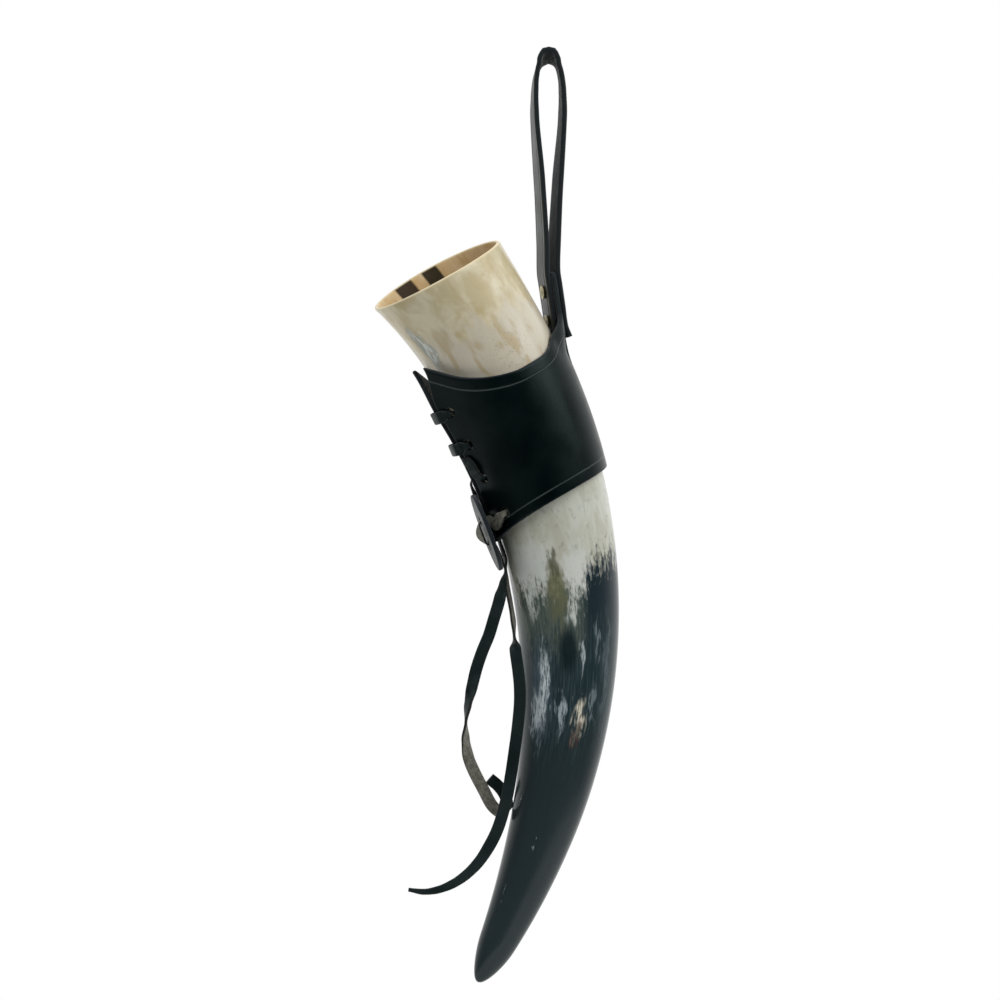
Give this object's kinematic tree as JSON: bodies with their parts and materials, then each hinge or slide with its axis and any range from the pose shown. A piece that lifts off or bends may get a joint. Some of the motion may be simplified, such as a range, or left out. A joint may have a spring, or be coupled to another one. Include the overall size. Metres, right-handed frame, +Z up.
{
  "type": "drinking horn with hanging holster",
  "caption": "Curved polished drinking horn, cream at the mouth and black at the tip, in a laced black leather holster with a riveted hanging loop.",
  "frame": {"origin": "inner top of the hanging loop, where a belt or a peg carries the part", "axes": "+Z up as it hangs; the horn bends in the XZ plane with its mouth and its hollow side towards -X; +Y completes the frame and the picture looks from -Y"},
  "size_m": [0.1237, 0.0701, 0.4663],
  "materials": {
    "horn_keratin": null,
    "black_leather": "smooth black leather, half gloss",
    "lace_leather": "black lace, smooth grain and suede flesh side",
    "antique_brass": "antique brass, worn bright at the rim"
  },
  "bodies": {
    "holster": {"holster_sleeve": "black_leather", "hanger_strap": "black_leather", "rivet_upper_cap": "antique_brass", "rivet_upper_post": "antique_brass", "rivet_lower_cap": "antique_brass", "rivet_lower_post": "antique_brass", "lace_button": "black_leather", "lacing": "lace_leather", "lace_tail_left": "lace_leather", "lace_tail_right": "lace_leather"},
    "drinking_horn": {"horn": "horn_keratin"}
  },
  "joints": [
    {"name": "horn_lift", "type": "hinge", "parent": "holster", "child": "drinking_horn", "pos_m": [-0.28209, 0, -0.29646], "axis": [0, -1, 0], "range_deg": [0, 70]}
  ]
}
